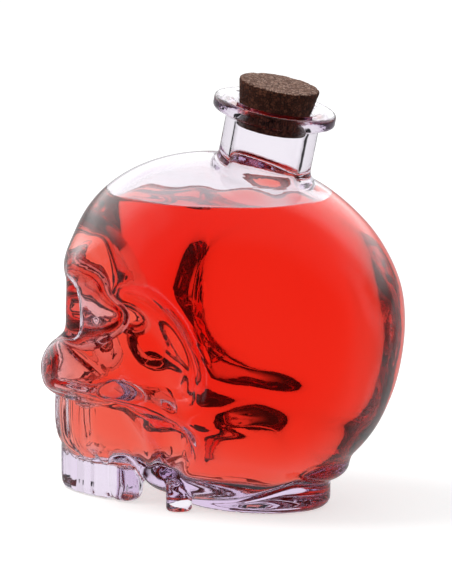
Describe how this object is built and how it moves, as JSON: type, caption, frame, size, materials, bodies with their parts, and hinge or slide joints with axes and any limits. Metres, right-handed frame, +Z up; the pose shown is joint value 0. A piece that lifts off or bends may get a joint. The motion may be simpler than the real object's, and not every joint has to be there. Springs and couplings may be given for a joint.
{
  "type": "skull-shaped glass bottle",
  "caption": "Clear glass bottle shaped as a skull without its lower jaw, filled with red liquid and closed by a tapered cork in a leaning, flanged neck.",
  "frame": {"origin": "middle of the foot's flat underside, on the surface that the bottle stands on", "axes": "+Z up, the face looks toward -Y, the skull's left side is at +X, the neck leans to the back, +Y"},
  "size_m": [0.0816, 0.1117, 0.1301],
  "materials": {
    "clear_glass": "clear moulded glass with a faint lilac cast, polished by the mould",
    "red_drink": null,
    "cork": "fine-grained agglomerated cork, dark where it is wet"
  },
  "bodies": {
    "bottle": {"glass_bottle": "clear_glass", "red_liquid": "red_drink"},
    "stopper": {"cork_stopper": "cork"}
  },
  "joints": [
    {"name": "cork_pull", "type": "slide", "parent": "bottle", "child": "stopper", "axis": [0, 0.2079, 0.9781], "range_m": [0, 0.03]}
  ]
}
